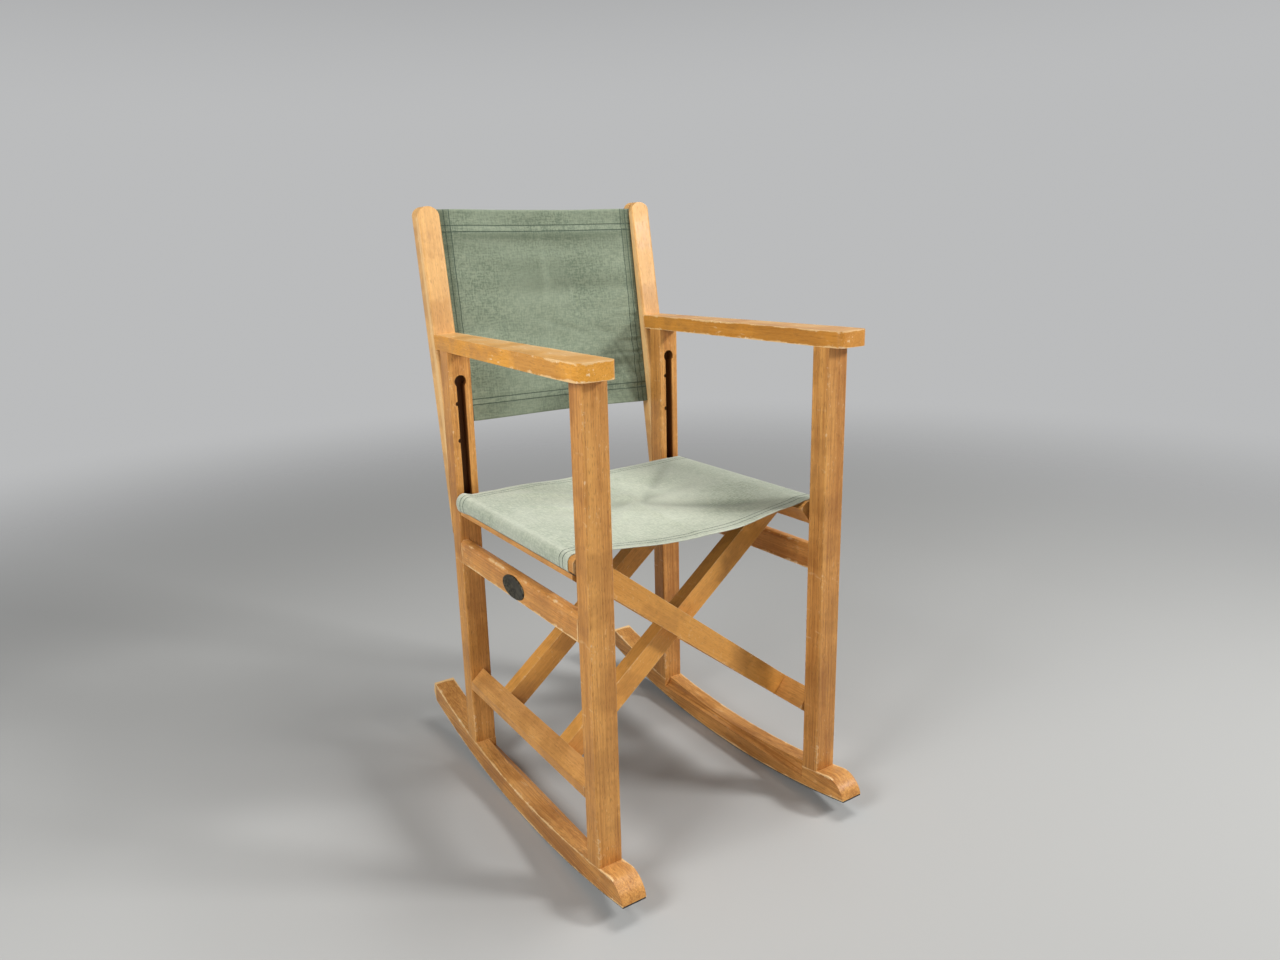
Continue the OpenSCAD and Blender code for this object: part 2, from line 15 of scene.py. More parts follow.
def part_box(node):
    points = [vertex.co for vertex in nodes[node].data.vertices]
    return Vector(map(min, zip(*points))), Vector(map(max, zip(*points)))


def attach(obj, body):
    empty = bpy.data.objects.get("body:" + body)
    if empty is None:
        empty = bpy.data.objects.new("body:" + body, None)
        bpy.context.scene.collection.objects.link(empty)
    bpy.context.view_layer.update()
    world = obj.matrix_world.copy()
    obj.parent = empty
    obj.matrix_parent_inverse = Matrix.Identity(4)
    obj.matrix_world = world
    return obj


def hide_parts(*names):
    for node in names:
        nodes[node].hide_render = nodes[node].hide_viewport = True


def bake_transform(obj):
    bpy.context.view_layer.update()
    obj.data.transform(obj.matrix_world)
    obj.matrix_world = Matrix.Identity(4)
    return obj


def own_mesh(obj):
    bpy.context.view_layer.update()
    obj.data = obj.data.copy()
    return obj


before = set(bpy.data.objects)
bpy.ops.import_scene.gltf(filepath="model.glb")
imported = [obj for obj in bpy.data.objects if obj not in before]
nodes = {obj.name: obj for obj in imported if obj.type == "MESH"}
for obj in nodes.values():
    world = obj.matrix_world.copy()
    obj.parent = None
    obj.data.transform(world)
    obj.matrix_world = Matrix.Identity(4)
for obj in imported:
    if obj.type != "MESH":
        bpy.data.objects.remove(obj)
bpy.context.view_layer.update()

# %% [markdown]
# ## The chair's own sizes
# Cloth has to meet the wood, and worn edges have to lie on it, so the script repeats the few sizes of
# the CAD source that these need, in metres, and checks one of them against the loaded part.

# %% Sizes shared with the CAD source
POST_W = 0.038
OUTER_X = 0.220
INNER_X = OUTER_X - POST_W
PIN_X = OUTER_X - POST_W / 2
FRONT_Y, POST_BACK_Y = (v.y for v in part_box("left_front_post"))
REAR_Y, REAR_BACK_Y = (v.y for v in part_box("left_rear_post"))
LADDER = math.radians(38.5)
BAR_W = 0.035
RAIL_H = 0.035
RAIL_W = 0.038
HALF_L = PIN_X / math.cos(LADDER)
SEAT_Z = 0.485
CROSS_Z = SEAT_Z - 0.0116 - PIN_X * math.tan(LADDER)
RAIL_ROUND = 0.009
CLOTH_T = 0.0012
FIT = 0.0003
WRAP = FIT + CLOTH_T
SEAT_SAG = 0.012
SEAT_Y = (POST_BACK_Y + 0.012, REAR_Y - 0.012)
ROCK_R = 1.315
ROCK_LOW = 0.227
ROCKER_T = 0.032
SOLE_T = 0.002
LEAN = math.radians(8)
LEAN_Z = 0.6315
STILE_T = 0.034
ROD_D = 0.006
CHAN_X = INNER_X + (ROD_D + 2 * CLOTH_T + 2 * FIT) / 2 + 0.004
CHAN_Y = STILE_T * 0.52
BACK_Z = (0.595, 0.925)
assert abs(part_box("seat_canvas")[0].y - SEAT_Y[0]) < 1e-4, "the seat's front edge has moved in the CAD"
print("seat canvas from", SEAT_Y, "back canvas from", BACK_Z)

# %% [markdown]
# ## Camera
# The view was worked out from the straight edges of the photographed chair: a phone lens held a little
# above the armrests, turned 30 degrees and tipped 14 degrees down. The small shift puts the middle of
# the lens where the photograph has it.

# %% Camera
VIEW_FROM = Vector((-0.7521, FRONT_Y - 0.8861, 0.8770))
PHOTO_W, PHOTO_H = 1280, 960
FOCAL = 894.887
LENS_AT = (570.06, 463.42)
SENSOR = 36
yaw, pitch, roll = math.radians(30.094), math.radians(-14.080), math.radians(-2.397)
look = Vector((math.sin(yaw) * math.cos(pitch), math.cos(yaw) * math.cos(pitch), math.sin(pitch)))
level = Vector((math.cos(yaw), -math.sin(yaw), 0))
above = level.cross(look)
right = math.cos(roll) * level + math.sin(roll) * above
up = -math.sin(roll) * level + math.cos(roll) * above
camera = bpy.data.objects.new("camera", bpy.data.cameras.new("camera"))
camera.data.sensor_width = SENSOR
camera.data.lens = FOCAL / PHOTO_W * SENSOR
camera.data.shift_x = (PHOTO_W / 2 - LENS_AT[0]) / PHOTO_W
camera.data.shift_y = (LENS_AT[1] - PHOTO_H / 2) / PHOTO_W
camera.matrix_world = Matrix((
    (right.x, up.x, -look.x, VIEW_FROM.x), (right.y, up.y, -look.y, VIEW_FROM.y),
    (right.z, up.z, -look.z, VIEW_FROM.z), (0, 0, 0, 1)))
bpy.context.scene.collection.objects.link(camera)
bpy.context.scene.camera = camera
bpy.context.scene.view_settings.view_transform = "Standard"
print("camera lens", round(camera.data.lens, 2), "mm")

# %% [markdown]
# ## Small helpers for node trees
# Every finish is a node tree. `put` adds one node and fills its sockets: a value is written on the
# socket, another node's socket is linked to it. `group` opens a shader node group with named sockets.

# %% Node helpers
def put(tree, kind, inputs=None, **settings):
    """Add a node, set its options, and write or link each input."""
    node = tree.nodes.new("ShaderNode" + kind)
    for key, value in settings.items():
        setattr(node, key, value)
    for key, value in (inputs or {}).items():
        socket = node.inputs[key]
        if isinstance(value, bpy.types.NodeSocket):
            tree.links.new(value, socket)
        else:
            socket.default_value = value
    return node


def maths(tree, operation, *values):
    """One Math node; returns its result."""
    return put(tree, "Math", dict(enumerate(values)), operation=operation).outputs[0]


def times(tree, first, second):
    return maths(tree, "MULTIPLY", first, second)


def plus(tree, first, second):
    return maths(tree, "ADD", first, second)


def minus(tree, first, second):
    return maths(tree, "SUBTRACT", first, second)


def vector_maths(tree, operation, *values):
    """One Vector Math node; returns its vector."""
    return put(tree, "VectorMath", dict(enumerate(values)), operation=operation).outputs[0]


def split(tree, vector):
    """The X, Y and Z of a vector, as three sockets."""
    return put(tree, "SeparateXYZ", {0: vector}).outputs


def ramp(tree, value, from_low, from_high, to_low=0.0, to_high=1.0, smooth=True):
    """Map a value from one span to another, clamped."""
    kind = "SMOOTHSTEP" if smooth else "LINEAR"
    sockets = {"Value": value, "From Min": from_low, "From Max": from_high,
               "To Min": to_low, "To Max": to_high}
    return put(tree, "MapRange", sockets, interpolation_type=kind).outputs["Result"]


def noise_of(tree, vector, scale, detail, **more):
    """The grey value of Blender's noise; more names further inputs, such as Roughness."""
    sockets = {"Vector": vector, "Scale": scale, "Detail": detail, **more}
    return put(tree, "TexNoise", sockets).outputs["Fac"]


def blend(tree, factor, first, second):
    """The first colour where the factor is 0, the second where it is 1."""
    node = put(tree, "Mix", data_type="RGBA")
    for index, value in ((0, factor), (6, first), (7, second)):
        if isinstance(value, bpy.types.NodeSocket):
            tree.links.new(value, node.inputs[index])
        else:
            node.inputs[index].default_value = value
    return node.outputs[2]


def group(name, inputs, outputs):
    """A new shader node group: inputs and outputs are (name, kind, default)."""
    tree = bpy.data.node_groups.new(name, "ShaderNodeTree")
    for title, kind, default in inputs:
        socket = tree.interface.new_socket(title, in_out="INPUT", socket_type="NodeSocket" + kind)
        if default is not None:
            socket.default_value = default
    for title, kind in outputs:
        tree.interface.new_socket(title, in_out="OUTPUT", socket_type="NodeSocket" + kind)
    return tree, tree.nodes.new("NodeGroupInput").outputs, tree.nodes.new("NodeGroupOutput").inputs


def use(tree, which, inputs):
    """Place a node group in a material, with its own values."""
    node = tree.nodes.new("ShaderNodeGroup")
    node.node_tree = which
    for key, value in inputs.items():
        if isinstance(value, bpy.types.NodeSocket):
            tree.links.new(value, node.inputs[key])
        else:
            node.inputs[key].default_value = value
    return node.outputs


def colour(r, g, b):
    """A colour as seen on screen, 0 to 255, turned into the light values that Blender mixes."""
    return (*[((v / 255 + 0.055) / 1.055) ** 2.4 if v > 10 else v / 255 / 12.92 for v in (r, g, b)], 1.0)


def finish_of(name):
    """A new material; returns it, its tree and its Principled shader."""
    made = bpy.data.materials.new(name)
    made.use_nodes = True
    return made, made.node_tree, made.node_tree.nodes["Principled BSDF"]


# %% [markdown]
# ## Wood grain
# Beech has a close straight grain: long pale and brown streaks, and thousands of short dark flecks that
# lie along the board. Noise stretched along one axis gives both. The group expects a vector whose Z runs
# along the board, so one group serves posts, rails and the crossing bars.

# %% Wood grain group
grain, gin, gout = group(
    "Wood grain", [("Vector", "Vector", None), ("Seed", "Float", 0.0)],
    [("Streaks", "Float"), ("Flecks", "Float"), ("Height", "Float")])
offset = put(grain, "CombineXYZ", {0: gin["Seed"], 1: times(grain, gin["Seed"], 1.7), 2: gin["Seed"]})
shifted = vector_maths(grain, "ADD", gin["Vector"], offset.outputs[0])
broad = vector_maths(grain, "MULTIPLY", shifted, (52, 52, 1.8))
fine = vector_maths(grain, "MULTIPLY", shifted, (420, 420, 9))
dash = vector_maths(grain, "MULTIPLY", shifted, (820, 820, 110))
rings = noise_of(grain, broad, 1.0, 3.0, Distortion=0.6)
lines = noise_of(grain, fine, 1.0, 4.0, Roughness=0.6)
specks = noise_of(grain, dash, 1.0, 1.0)
streaks = plus(grain, times(grain, rings, 0.42), times(grain, lines, 0.58))
flecks = ramp(grain, specks, 0.56, 0.70)
grain.links.new(ramp(grain, streaks, 0.33, 0.66), gout["Streaks"])
grain.links.new(flecks, gout["Flecks"])
grain.links.new(minus(grain, times(grain, lines, 0.5), flecks), gout["Height"])
print("group:", grain.name)

# %% [markdown]
# ## Worn edges
# The varnish has rubbed off along the edges, where the bare wood shows pale. On a board the edge is where
# two faces come close, so the group takes a place measured from the board's middle and the board's half
# size, and looks at the second smallest distance to a face. Noise breaks the line into rubs, and a finer
# noise adds a few bright chips.

# %% Worn edge group
worn, win, wout = group(
    "Worn edges",
    [("Vector", "Vector", None), ("Half size", "Vector", (0.02, 0.02, 0.2)),
     ("Width", "Float", 0.003), ("Amount", "Float", 0.5)],
    [("Mask", "Float"), ("Chips", "Float")])
away = vector_maths(worn, "ABSOLUTE", win["Vector"])
parts = split(worn, vector_maths(worn, "SUBTRACT", win["Half size"], away))
smallest = maths(worn, "MINIMUM", maths(worn, "MINIMUM", parts[0], parts[1]), parts[2])
largest = maths(worn, "MAXIMUM", maths(worn, "MAXIMUM", parts[0], parts[1]), parts[2])
total = plus(worn, plus(worn, parts[0], parts[1]), parts[2])
middle = minus(worn, minus(worn, total, smallest), largest)
patch = noise_of(worn, win["Vector"], 28.0, 5.0, Roughness=0.7)
reach = times(worn, win["Width"], ramp(worn, patch, 0.35, 0.75, 0.15, 2.2))
near = ramp(worn, middle, 0.0, reach, 1.0, 0.0, smooth=False)
rub = plus(worn, near, minus(worn, win["Amount"], 1.0))
worn.links.new(ramp(worn, rub, 0.0, 0.45), wout["Mask"])
nick = noise_of(worn, win["Vector"], 150.0, 3.0, Roughness=0.6)
close = ramp(worn, middle, 0.0, 0.006, 1.0, 0.0, smooth=False)
chips = times(worn, ramp(worn, nick, 0.60, 0.65), ramp(worn, patch, 0.48, 0.58))
worn.links.new(times(worn, times(worn, chips, close), win["Amount"]), wout["Chips"])
print("group:", worn.name)

# %% [markdown]
# ## Scuffs and handling marks
# An old varnish is never even: it has faint scratches and duller patches where hands and shoes touch it.
# Two noises, one of them drawn out, give a mask of thin marks and a mask of cloudy patches.

# %% Scuff group
scuffs, sin_, sout = group("Scuffs", [("Vector", "Vector", None), ("Scale", "Float", 1.0)],
                           [("Marks", "Float"), ("Patches", "Float")])
grown = put(scuffs, "VectorMath", {0: sin_["Vector"], "Scale": sin_["Scale"]}, operation="SCALE").outputs[0]
stretched = {"Vector": grown, "Rotation": (0.6, 0.4, 0.9), "Scale": (260, 40, 150)}
thin = noise_of(scuffs, put(scuffs, "Mapping", stretched).outputs[0], 1.0, 2.0)
cloud = noise_of(scuffs, grown, 14.0, 4.0, Roughness=0.6)
marks = times(scuffs, ramp(scuffs, thin, 0.62, 0.70), ramp(scuffs, cloud, 0.46, 0.60))
scuffs.links.new(marks, sout["Marks"])
scuffs.links.new(ramp(scuffs, cloud, 0.35, 0.7), sout["Patches"])
print("group:", scuffs.name)

# %% [markdown]
# ## Varnished beech
# Each board gets its own copy of the finish, because its grain runs its own way and its edges lie
# elsewhere: the place is turned so that Z follows the board, and measured from the board's middle.

# %% Varnished beech
DEEP, HONEY, PALE = colour(160, 99, 42), colour(218, 158, 84), colour(232, 194, 138)


def beech(name, middle, half, turn=(0, 0, 0), seed=0.0, tone=0.0, wear=0.5, width=0.003, scratch=0.25,
          tint=(224, 164, 92), curve=None, slot=None, top_wear_and_light=0.0):
    """Varnished beech for one board: its middle, half size (Z along the board) and turn.

    tone mixes in the tint, wear and width rub the edges, scratch adds handling marks, the top amount pales
    the faces that look up, partly as worn bare wood and partly as painted light from above, curve gives a
    bent board its own place, and slot paints shade inside a slot (middle, half size).
    """
    made, tree, shader = finish_of(name)
    place = put(tree, "TexCoord").outputs["Object"]
    moved = vector_maths(tree, "SUBTRACT", place, middle)
    local = put(tree, "VectorRotate", {"Vector": moved, "Rotation": turn},
                rotation_type="EULER_XYZ", invert=True).outputs[0]
    edge_place = local if curve is None else curve(tree, place)
    figure = use(tree, grain, {"Vector": local, "Seed": seed})
    edges = use(tree, worn, {"Vector": edge_place, "Half size": half, "Width": width, "Amount": wear})
    marks = use(tree, scuffs, {"Vector": moved, "Scale": 1.0})
    base = blend(tree, figure["Streaks"], DEEP, HONEY)
    base = blend(tree, tone, base, colour(*tint))
    base = blend(tree, times(tree, marks["Patches"], 0.2), base, colour(*tint))
    base = blend(tree, ramp(tree, marks["Patches"], 0.0, 0.5, 0.3, 0.0), base, colour(146, 96, 46))
    base = blend(tree, times(tree, figure["Flecks"], 0.38 * (1 - 0.7 * tone)), base, colour(104, 66, 30))
    if top_wear_and_light:
        # Faces that look up are painted paler: partly worn bare wood, partly painted light from above.
        up = split(tree, put(tree, "NewGeometry").outputs["Normal"])[2]
        bare_and_lit = times(tree, ramp(tree, up, 0.7, 0.95), ramp(tree, marks["Patches"], 0.1, 0.9, 0.3, 1.0))
        base = blend(tree, times(tree, bare_and_lit, top_wear_and_light), base, colour(200, 166, 120))
    base = blend(tree, times(tree, marks["Marks"], scratch), base, colour(238, 208, 160))
    base = blend(tree, times(tree, edges["Mask"], 0.85), base, PALE)
    base = blend(tree, edges["Chips"], base, colour(244, 224, 190))
    # Painted shade: the walls inside a slot are darkened toward a deep brown, for the shade in the recess.
    if slot:
        spot, size = slot
        inside = vector_maths(tree, "ABSOLUTE", vector_maths(tree, "SUBTRACT", place, spot))
        room = split(tree, vector_maths(tree, "SUBTRACT", size, inside))
        least = maths(tree, "MINIMUM", maths(tree, "MINIMUM", room[0], room[1]), room[2])
        base = blend(tree, times(tree, ramp(tree, least, 0.0, 0.0025), 0.85), base, colour(74, 36, 14))
    tree.links.new(base, shader.inputs["Base Color"])
    rough = plus(tree, ramp(tree, marks["Patches"], 0, 1, 0.33, 0.5), times(tree, edges["Mask"], 0.25))
    tree.links.new(rough, shader.inputs["Roughness"])
    shader.inputs["Specular IOR Level"].default_value = 0.32
    relief = minus(tree, figure["Height"], times(tree, edges["Mask"], 0.4))
    bump = put(tree, "Bump", {"Strength": 0.25, "Distance": 0.0004, "Height": relief})
    tree.links.new(bump.outputs[0], shader.inputs["Normal"])
    return made


def dress(name, made):
    """Give a CAD node one material."""
    mesh = nodes[name].data
    mesh.materials.clear()
    mesh.materials.append(made)


print("beech is ready")

# %% Beech for every board
ALONG_Y = (math.pi / 2, 0, 0)
SLOT_Z = 0.585
SLOT_HALF = (0.0125, 0.0095, 0.125)
SLOT_IN = 0.0105


def middle_and_half(name):
    """The middle of a CAD node's box and half its size."""
    low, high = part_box(name)
    return (low + high) / 2, (high - low) / 2


for number, side in enumerate(("left", "right")):
    sign = -1 if side == "left" else 1
    for part, seed, slot_y in (("front_post", 1.3, POST_BACK_Y - SLOT_IN),
                               ("rear_post", 2.9, REAR_Y + SLOT_IN)):
        name = f"{side}_{part}"
        mid, half = middle_and_half(name)
        dress(name, beech(name, mid, half, seed=seed + number * 3.1, tone=0.1, wear=0.42, width=0.0022,
                          slot=((sign * PIN_X, slot_y, SLOT_Z), SLOT_HALF)))
    name = f"{side}_back_stile"
    mid, half = middle_and_half(name)
    dress(name, beech(name, mid, (POST_W / 2, STILE_T / 2, half.z), turn=(-LEAN, 0, 0), seed=5.7 + number,
                      tone=0.55, wear=0.3, width=0.002, tint=(232, 186, 120)))
    for part, seed in (("armrest", 7.1), ("mid_rail", 9.3)):
        name = f"{side}_{part}"
        mid, half = middle_and_half(name)
        # The right armrest's darker tint (206, 138, 44) is painted shade, for the shade on the right of the
        # chair; its wear values are its own.
        worn_by, rub_width, scratched, gold, tint = {
            "left_armrest": (0.9, 0.0032, 0.9, 0.5, (238, 166, 44)),
            "right_armrest": (0.75, 0.0026, 0.7, 0.6, (206, 138, 44)),
        }.get(name, (0.75, 0.0042, 0.6, 0.3, (226, 156, 84)))
        dress(name, beech(name, mid, (half.x, half.z, half.y), turn=ALONG_Y, seed=seed + number * 2.3,
                          wear=worn_by, width=rub_width, scratch=scratched, tone=gold, tint=tint,
                          top_wear_and_light=0.75 if part == "armrest" else 0.15))
print("posts, stiles, armrests and mid rails are dressed")

# %% Beech for the ladders
for name, sign, seed in (("front_outer_bar", 1, 11.2), ("rear_outer_bar", 1, 12.9),
                         ("front_inner_bar", -1, 14.1), ("rear_inner_bar", -1, 15.8)):
    mid, half = middle_and_half(name)
    dress(name, beech(name, (0, mid.y, CROSS_Z), (BAR_W / 2, half.y, HALF_L - RAIL_W / 2),
                      turn=(0, sign * (LADDER + math.pi / 2), 0), seed=seed,
                      tone=0.68, wear=0.35, tint=(226, 162, 78)))
for name, seed in (("left_lower_rail", 21.3), ("right_lower_rail", 22.7), ("left_seat_rail", 23.9),
                   ("right_seat_rail", 25.1), ("left_seat_batten", 26.6), ("right_seat_batten", 27.4)):
    mid, half = middle_and_half(name)
    dress(name, beech(name, mid, (RAIL_W / 2, RAIL_H / 2, half.y), turn=ALONG_Y, seed=seed,
                      tone=0.45, wear=0.4, width=0.0028, top_wear_and_light=0.4))
print("ladders are dressed")

# %% [markdown]
# ## Rockers
# A rocker is sawn from a straight board, so its grain runs straight while its edges are curved. The wear
# therefore gets its own place: across the board, out from the middle of the curve, and along it.

# %% Beech for the rockers
ROCK_Y = FRONT_Y + ROCK_LOW
ROCK_MIDDLE_R = ROCK_R - SOLE_T - ROCKER_T / 2
ROCK_SHIFT = 0.025


def along_curve(centre_x):
    """A place on a rocker: across the board, out from the middle of its curve, and along it."""
    def place_on(tree, place):
        axes = split(tree, place)
        back = minus(tree, axes[1], ROCK_Y)
        low = minus(tree, axes[2], ROCK_R)
        out = maths(tree, "SQRT", plus(tree, times(tree, back, back), times(tree, low, low)))
        across, outward = minus(tree, axes[0], centre_x), minus(tree, out, ROCK_MIDDLE_R)
        return put(tree, "CombineXYZ", {0: across, 1: outward, 2: minus(tree, back, ROCK_SHIFT)}).outputs[0]
    return place_on


for side, sign, seed in (("left", -1, 31.5), ("right", 1, 33.3)):
    name = side + "_rocker"
    mid, half = middle_and_half(name)
    dress(name, beech(name, mid, (POST_W / 2, ROCKER_T / 2, half.y), turn=ALONG_Y, seed=seed,
                      wear=0.75, width=0.0034, top_wear_and_light=0.15, curve=along_curve(sign * PIN_X)))
print("rockers are dressed")

# %% [markdown]
# ## Black rubber, zinc and dark fittings
# Under each rocker lies a black strip. The pins and rods are dull zinc, the slide bushings dark plastic.

# %% Fittings
def plain_finish(name, light, dark, rough, metal=0.0, scale=60.0):
    """A finish that clouds between two colours."""
    made, tree, shader = finish_of(name)
    place = put(tree, "TexCoord").outputs["Object"]
    cloudy = noise_of(tree, place, scale, 5.0)
    tree.links.new(blend(tree, ramp(tree, cloudy, 0.35, 0.65), dark, light), shader.inputs["Base Color"])
    tree.links.new(ramp(tree, cloudy, 0.3, 0.7, rough - 0.1, rough + 0.1), shader.inputs["Roughness"])
    shader.inputs["Metallic"].default_value = metal
    bump = put(tree, "Bump", {"Strength": 0.2, "Distance": 0.0003, "Height": cloudy})
    tree.links.new(bump.outputs[0], shader.inputs["Normal"])
    return made


def new_piece(name, bm, finish):
    """A smooth object made from a bmesh."""
    mesh = bpy.data.meshes.new(name)
    bm.to_mesh(mesh)
    bm.free()
    piece = bpy.data.objects.new(name, mesh)
    bpy.context.scene.collection.objects.link(piece)
    mesh.materials.append(finish)
    for face in mesh.polygons:
        face.use_smooth = True
    return piece


rubber = plain_finish("black strip", colour(38, 37, 36), colour(20, 20, 20), 0.75)
zinc = plain_finish("dull zinc", colour(150, 148, 142), colour(96, 92, 86), 0.4, metal=1.0, scale=120)
dark_plastic = plain_finish("dark bushing", colour(70, 52, 36), colour(40, 30, 22), 0.5)
for name in nodes:
    if "sole" in name:
        dress(name, rubber)
    elif "bushings" in name:
        dress(name, dark_plastic)
    elif any(word in name for word in ("pins", "washers", "screws", "rod")):
        dress(name, zinc)
    elif "dowels" in name:
        mid, half = middle_and_half(name)
        dress(name, beech(name, mid, half, seed=41.0))
print("fittings are dressed")

# %% [markdown]
# ## The bare oval plate
# A small dark metal plate is let into the left mid rail. The real one is oval, with a raised rim round a
# sunk face. A half section is spun into a disc, and the disc is then drawn out along the rail, while its
# rim keeps its width. The face stays bare.

# %% Oval plate
plate_low, plate_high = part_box("oval_plate")
plate_mid = (plate_low + plate_high) / 2
_, long_r, plate_r = (plate_high - plate_low) / 2
RIM = 0.004
PROUD = 0.0005
section = [(0.0, 0.0009), (plate_r - RIM, 0.0012), (plate_r - 0.0032, 0.0019), (plate_r - 0.0014, 0.0020),
           (plate_r - 0.0004, 0.0015), (plate_r, 0.0008), (plate_r, -0.0009)]
bm = bmesh.new()
ring = [bm.verts.new((plate_mid.x + PROUD - high, plate_mid.y + out, plate_mid.z)) for out, high in section]
for a, b in zip(ring, ring[1:]):
    bm.edges.new((a, b))
bmesh.ops.spin(bm, geom=bm.verts[:] + bm.edges[:], cent=plate_mid, axis=(1, 0, 0), angle=math.tau, steps=96)
bmesh.ops.remove_doubles(bm, verts=bm.verts, dist=0.00002)
bmesh.ops.recalc_face_normals(bm, faces=bm.faces)
for vert in bm.verts:
    across = vert.co.y - plate_mid.y
    out = math.hypot(across, vert.co.z - plate_mid.z)
    if out > 0.0001:
        drawn_out = out * (long_r - RIM) / (plate_r - RIM)
        reach = drawn_out if out < plate_r - RIM else long_r - plate_r + out
        vert.co.y = plate_mid.y + across / out * reach
bronze = plain_finish("dark bronze", colour(96, 92, 78), colour(52, 48, 40), 0.5, metal=0.7, scale=260)
plate = new_piece("bare_plate", bm, bronze)
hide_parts("oval_plate")
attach(plate, "left_side")
print("plate of", round(long_r * 2000, 1), "by", round(plate_r * 2000, 1), "mm")

# %% [markdown]
# ## Canvas finish
# The canvas is a plain weave. Its threads are about half a millimetre apart, so close up the light
# catches a grid of small bumps, and from a step away one sees slubs: thicker threads that run right
# across. The pattern reads the cloth's own UV map, which is written in metres, so it follows the folds.

# %% Canvas weave group
PITCH = 0.0006
weave, vin, vout = group("Canvas weave", [("UV", "Vector", None), ("Pitch", "Float", PITCH)],
                         [("Height", "Float"), ("Slubs", "Float"), ("Fading", "Float")])
axes = split(weave, vin["UV"])
turns = [maths(weave, "DIVIDE", times(weave, axes[i], math.pi), vin["Pitch"]) for i in (0, 1)]
waves = [maths(weave, "SINE", turn) for turn in turns]
crossing = times(weave, waves[0], waves[1])
rounded = plus(weave, maths(weave, "ABSOLUTE", waves[0]), maths(weave, "ABSOLUTE", waves[1]))
threads = [noise_of(weave, vector_maths(weave, "MULTIPLY", vin["UV"], stretch), 1.0, 3.0)
           for stretch in ((70, 380, 1), (380, 70, 1), (300, 300, 1))]
slubs = times(weave, plus(weave, plus(weave, threads[0], threads[1]), threads[2]), 1 / 3)
faded = noise_of(weave, vin["UV"], 9.0, 5.0, Roughness=0.55)
weave.links.new(plus(weave, times(weave, crossing, 0.35), times(weave, rounded, 0.3)), vout["Height"])
weave.links.new(ramp(weave, slubs, 0.40, 0.60), vout["Slubs"])
weave.links.new(ramp(weave, faded, 0.35, 0.68), vout["Fading"])
print("group:", weave.name)

# %% Seam line group
seam, seam_in, seam_out = group(
    "Seam line", [("Coordinate", "Float", 0.0), ("At", "Float", 0.0), ("Width", "Float", 0.0013)],
    [("Mask", "Float")])
gap = maths(seam, "ABSOLUTE", minus(seam, seam_in["Coordinate"], seam_in["At"]))
seam.links.new(ramp(seam, gap, 0.0, seam_in["Width"], 1.0, 0.0), seam_out["Mask"])
print("group:", seam.name)

# %% Canvas finish
# Seam lines are dark: the thread's own colour together with painted shade in the sewn groove.
THREAD_AND_GROOVE_SHADE = colour(44, 60, 50)


def canvas(name, deep, light, fade, rows, columns=()):
    """Canvas in three tones, with painted shade from an attribute of the sheet, and seams at these places
    along and across its UV map, drawn as dark lines of thread colour and painted groove shade.
    """
    made, tree, shader = finish_of(name)
    uv = put(tree, "UVMap", uv_map="UVMap").outputs[0]
    cloth = use(tree, weave, {"UV": uv, "Pitch": PITCH})
    painted_shade = put(tree, "Attribute", attribute_name="painted_shade").outputs["Fac"]
    rub = put(tree, "Attribute", attribute_name="rub").outputs["Fac"]
    base = blend(tree, cloth["Slubs"], deep, light)
    base = blend(tree, times(tree, cloth["Fading"], 0.4), base, fade)
    base = blend(tree, times(tree, rub, 0.6), base, fade)
    # Painted shade: the sheet's shade attribute darkens the valleys of creases, folds, bands and shaded
    # strips toward a dark olive.
    base = blend(tree, times(tree, painted_shade, 0.5), base, colour(66, 77, 56))
    flat = split(tree, uv)
    sewn = None
    for axis, places in ((1, rows), (0, columns)):
        for at in places:
            line = use(tree, seam, {"Coordinate": flat[axis], "At": at})["Mask"]
            sewn = line if sewn is None else maths(tree, "MAXIMUM", sewn, line)
    base = blend(tree, times(tree, sewn, 0.9), base, THREAD_AND_GROOVE_SHADE)
    tree.links.new(base, shader.inputs["Base Color"])
    tree.links.new(ramp(tree, cloth["Slubs"], 0, 1, 0.82, 0.95), shader.inputs["Roughness"])
    shader.inputs["Specular IOR Level"].default_value = 0.25
    shader.inputs["Sheen Weight"].default_value = 0.25
    shader.inputs["Sheen Roughness"].default_value = 0.5
    bumps = plus(tree, cloth["Height"], times(tree, cloth["Slubs"], 0.4))
    bumps = minus(tree, bumps, times(tree, sewn, 1.5))
    bump = put(tree, "Bump", {"Strength": 0.5, "Distance": 0.0004, "Height": bumps})
    tree.links.new(bump.outputs[0], shader.inputs["Normal"])
    return made


thread_finish = plain_finish("stitching thread", colour(86, 104, 88), colour(48, 64, 54), 0.8, scale=300)
print("thread is ready")

# %% [markdown]
# ## A sheet from a grid
# Cloth starts as a flat grid that an operator makes. Each grid point is then carried to its place by a
# function of how far it lies across and along the cloth. The same function places the stitches, so they
# can't drift off the cloth. Solidify gives the sheet its 1.2 mm.

